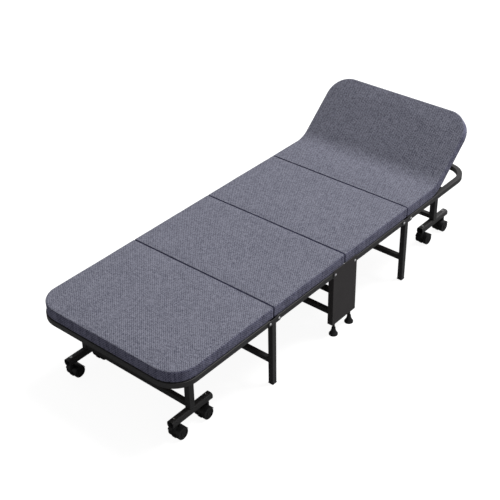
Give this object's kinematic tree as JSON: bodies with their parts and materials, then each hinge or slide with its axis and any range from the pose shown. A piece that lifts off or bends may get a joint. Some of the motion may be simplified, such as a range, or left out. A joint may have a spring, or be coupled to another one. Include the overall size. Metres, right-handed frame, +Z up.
{
  "type": "folding cot",
  "caption": "Low folding cot with hinged padded sections, a tilting backrest, a centre stand on screw feet, hinged mid legs and caster bases for rolling when folded.",
  "frame": {"origin": "middle of the cot's box, on the floor", "axes": "+X along the length to the head end, +Y across to the far side, +Z up"},
  "size_m": [1.8442, 0.719, 0.5737],
  "materials": {
    "pad_fabric": "grey-blue woven cover with slubs",
    "board": "thin sealed board",
    "bright_steel": "bright zinc plate",
    "black_plastic": "moulded, slightly satin",
    "wheel_plastic": "moulded nylon",
    "panel_paint": "matt powder coat",
    "frame_paint": "fine-textured matt powder coat"
  },
  "bodies": {
    "stand": {"centre_panels": "panel_paint", "centre_cross_bars": "frame_paint", "centre_rivets": "bright_steel"},
    "levelling_foot_1": {"levelling_foot_1": "black_plastic"},
    "levelling_foot_2": {"levelling_foot_2": "black_plastic"},
    "levelling_foot_3": {"levelling_foot_3": "black_plastic"},
    "levelling_foot_4": {"levelling_foot_4": "black_plastic"},
    "section_3": {"section_3_rails": "frame_paint", "section_3_cross_tubes": "frame_paint", "section_3_board": "board", "section_3_pad": "pad_fabric", "section_3_pad_inner_end": "pad_fabric"},
    "head_mid_legs": {"head_mid_leg_frame": "frame_paint", "head_mid_hinge_links": "frame_paint", "head_mid_hinge_rivets": "bright_steel", "head_mid_leg_caps": "black_plastic"},
    "section_4": {"section_4_frame_tube": "frame_paint", "section_4_cross_tubes": "frame_paint", "section_4_board": "board", "section_4_pad_flat": "pad_fabric", "section_4_pad_bend": "pad_fabric", "backrest_hinge_plates": "frame_paint"},
    "backrest": {"backrest_frame": "frame_paint", "backrest_board": "board", "backrest_pad": "pad_fabric"},
    "head_base": {"head_base_frame": "frame_paint", "head_base_floor_bars": "frame_paint", "head_base_caster_stems": "bright_steel"},
    "head_inner_near_caster": {"head_inner_near_caster_hood": "black_plastic"},
    "head_inner_near_caster_wheels": {"head_inner_near_caster_wheels": "wheel_plastic"},
    "head_inner_far_caster": {"head_inner_far_caster_hood": "black_plastic"},
    "head_inner_far_caster_wheels": {"head_inner_far_caster_wheels": "wheel_plastic"},
    "head_outer_near_caster": {"head_outer_near_caster_hood": "black_plastic"},
    "head_outer_near_caster_wheels": {"head_outer_near_caster_wheels": "wheel_plastic"},
    "head_outer_far_caster": {"head_outer_far_caster_hood": "black_plastic"},
    "head_outer_far_caster_wheels": {"head_outer_far_caster_wheels": "wheel_plastic"},
    "section_2": {"section_2_rails": "frame_paint", "section_2_cross_tubes": "frame_paint", "section_2_board": "board", "section_2_pad": "pad_fabric", "section_2_pad_inner_end": "pad_fabric"},
    "foot_mid_legs": {"foot_mid_leg_frame": "frame_paint", "foot_mid_hinge_links": "frame_paint", "foot_mid_hinge_rivets": "bright_steel", "foot_mid_leg_caps": "black_plastic"},
    "section_1": {"section_1_frame_tube": "frame_paint", "section_1_cross_tubes": "frame_paint", "section_1_board": "board", "section_1_pad": "pad_fabric"},
    "foot_base": {"foot_base_frame": "frame_paint", "foot_base_floor_bars": "frame_paint", "foot_base_caster_stems": "bright_steel"},
    "foot_inner_near_caster": {"foot_inner_near_caster_hood": "black_plastic"},
    "foot_inner_near_caster_wheels": {"foot_inner_near_caster_wheels": "wheel_plastic"},
    "foot_inner_far_caster": {"foot_inner_far_caster_hood": "black_plastic"},
    "foot_inner_far_caster_wheels": {"foot_inner_far_caster_wheels": "wheel_plastic"},
    "foot_outer_near_caster": {"foot_outer_near_caster_hood": "black_plastic"},
    "foot_outer_near_caster_wheels": {"foot_outer_near_caster_wheels": "wheel_plastic"},
    "foot_outer_far_caster": {"foot_outer_far_caster_hood": "black_plastic"},
    "foot_outer_far_caster_wheels": {"foot_outer_far_caster_wheels": "wheel_plastic"}
  },
  "joints": [
    {"name": "levelling_foot_1_screw", "type": "slide", "parent": "stand", "child": "levelling_foot_1", "axis": [0, 0, 1], "range_m": [-0.012, 0]},
    {"name": "levelling_foot_2_screw", "type": "slide", "parent": "stand", "child": "levelling_foot_2", "axis": [0, 0, 1], "range_m": [-0.012, 0]},
    {"name": "levelling_foot_3_screw", "type": "slide", "parent": "stand", "child": "levelling_foot_3", "axis": [0, 0, 1], "range_m": [-0.012, 0]},
    {"name": "levelling_foot_4_screw", "type": "slide", "parent": "stand", "child": "levelling_foot_4", "axis": [0, 0, 1], "range_m": [-0.012, 0]},
    {"name": "fold_head_half", "type": "hinge", "parent": "stand", "child": "section_3", "pos_m": [0.06623, 0, 0.292], "axis": [0, -1, 0], "range_deg": [0, 90], "deforming": ["section_3_pad_inner_end"]},
    {"name": "head_mid_legs_hinge", "type": "hinge", "parent": "section_3", "child": "head_mid_legs", "pos_m": [0.40243, 0, 0.292], "axis": [0, -1, 0], "range_deg": [-90, 0]},
    {"name": "head_end_hinge", "type": "hinge", "parent": "head_mid_legs", "child": "section_4", "pos_m": [0.45143, 0, 0.292], "axis": [0, -1, 0], "range_deg": [-81, 0]},
    {"name": "head_base_hinge", "type": "hinge", "parent": "section_4", "child": "head_base", "pos_m": [0.80036, 0, 0.282], "axis": [0, -1, 0], "range_deg": [0, 81]},
    {"name": "backrest_tilt", "type": "hinge", "parent": "section_4", "child": "backrest", "pos_m": [0.65897, 0, 0.297], "axis": [0, -1, 0], "range_deg": [-41, 17], "deforming": ["section_4_pad_bend"]},
    {"name": "head_inner_near_caster_swivel", "type": "hinge", "parent": "head_base", "child": "head_inner_near_caster", "pos_m": [0.70376, -0.262, 0.062], "axis": [0, 0, 1], "continuous": true},
    {"name": "head_inner_near_caster_roll", "type": "hinge", "parent": "head_inner_near_caster", "child": "head_inner_near_caster_wheels", "pos_m": [0.71876, -0.262, 0.024], "axis": [0, 1, 0], "continuous": true},
    {"name": "head_inner_far_caster_swivel", "type": "hinge", "parent": "head_base", "child": "head_inner_far_caster", "pos_m": [0.70376, 0.262, 0.062], "axis": [0, 0, 1], "continuous": true},
    {"name": "head_inner_far_caster_roll", "type": "hinge", "parent": "head_inner_far_caster", "child": "head_inner_far_caster_wheels", "pos_m": [0.71876, 0.262, 0.024], "axis": [0, 1, 0], "continuous": true},
    {"name": "head_outer_near_caster_swivel", "type": "hinge", "parent": "head_base", "child": "head_outer_near_caster", "pos_m": [0.86577, -0.262, 0.062], "axis": [0, 0, 1], "continuous": true},
    {"name": "head_outer_near_caster_roll", "type": "hinge", "parent": "head_outer_near_caster", "child": "head_outer_near_caster_wheels", "pos_m": [0.85076, -0.262, 0.024], "axis": [0, 1, 0], "continuous": true},
    {"name": "head_outer_far_caster_swivel", "type": "hinge", "parent": "head_base", "child": "head_outer_far_caster", "pos_m": [0.86577, 0.262, 0.062], "axis": [0, 0, 1], "continuous": true},
    {"name": "head_outer_far_caster_roll", "type": "hinge", "parent": "head_outer_far_caster", "child": "head_outer_far_caster_wheels", "pos_m": [0.85076, 0.262, 0.024], "axis": [0, 1, 0], "continuous": true},
    {"name": "fold_foot_half", "type": "hinge", "parent": "stand", "child": "section_2", "pos_m": [-0.05837, 0, 0.292], "axis": [0, 1, 0], "range_deg": [0, 90], "deforming": ["section_2_pad_inner_end"]},
    {"name": "foot_mid_legs_hinge", "type": "hinge", "parent": "section_2", "child": "foot_mid_legs", "pos_m": [-0.39457, 0, 0.292], "axis": [0, 1, 0], "range_deg": [-90, 0]},
    {"name": "foot_end_hinge", "type": "hinge", "parent": "foot_mid_legs", "child": "section_1", "pos_m": [-0.44357, 0, 0.292], "axis": [0, 1, 0], "range_deg": [-81, 0]},
    {"name": "foot_base_hinge", "type": "hinge", "parent": "section_1", "child": "foot_base", "pos_m": [-0.7925, 0, 0.282], "axis": [0, 1, 0], "range_deg": [0, 81]},
    {"name": "foot_inner_near_caster_swivel", "type": "hinge", "parent": "foot_base", "child": "foot_inner_near_caster", "pos_m": [-0.6959, -0.262, 0.062], "axis": [0, 0, 1], "continuous": true},
    {"name": "foot_inner_near_caster_roll", "type": "hinge", "parent": "foot_inner_near_caster", "child": "foot_inner_near_caster_wheels", "pos_m": [-0.7109, -0.262, 0.024], "axis": [0, 1, 0], "continuous": true},
    {"name": "foot_inner_far_caster_swivel", "type": "hinge", "parent": "foot_base", "child": "foot_inner_far_caster", "pos_m": [-0.6959, 0.262, 0.062], "axis": [0, 0, 1], "continuous": true},
    {"name": "foot_inner_far_caster_roll", "type": "hinge", "parent": "foot_inner_far_caster", "child": "foot_inner_far_caster_wheels", "pos_m": [-0.7109, 0.262, 0.024], "axis": [0, 1, 0], "continuous": true},
    {"name": "foot_outer_near_caster_swivel", "type": "hinge", "parent": "foot_base", "child": "foot_outer_near_caster", "pos_m": [-0.8579, -0.262, 0.062], "axis": [0, 0, 1], "continuous": true},
    {"name": "foot_outer_near_caster_roll", "type": "hinge", "parent": "foot_outer_near_caster", "child": "foot_outer_near_caster_wheels", "pos_m": [-0.8429, -0.262, 0.024], "axis": [0, 1, 0], "continuous": true},
    {"name": "foot_outer_far_caster_swivel", "type": "hinge", "parent": "foot_base", "child": "foot_outer_far_caster", "pos_m": [-0.8579, 0.262, 0.062], "axis": [0, 0, 1], "continuous": true},
    {"name": "foot_outer_far_caster_roll", "type": "hinge", "parent": "foot_outer_far_caster", "child": "foot_outer_far_caster_wheels", "pos_m": [-0.8429, 0.262, 0.024], "axis": [0, 1, 0], "continuous": true}
  ],
  "couplings": [
    {"joint": "head_mid_legs_hinge", "follows": "fold_head_half", "ratio": -1},
    {"joint": "head_end_hinge", "follows": "fold_head_half", "ratio": -0.9},
    {"joint": "head_base_hinge", "follows": "fold_head_half", "ratio": 0.9},
    {"joint": "foot_mid_legs_hinge", "follows": "fold_foot_half", "ratio": -1},
    {"joint": "foot_end_hinge", "follows": "fold_foot_half", "ratio": -0.9},
    {"joint": "foot_base_hinge", "follows": "fold_foot_half", "ratio": 0.9}
  ]
}
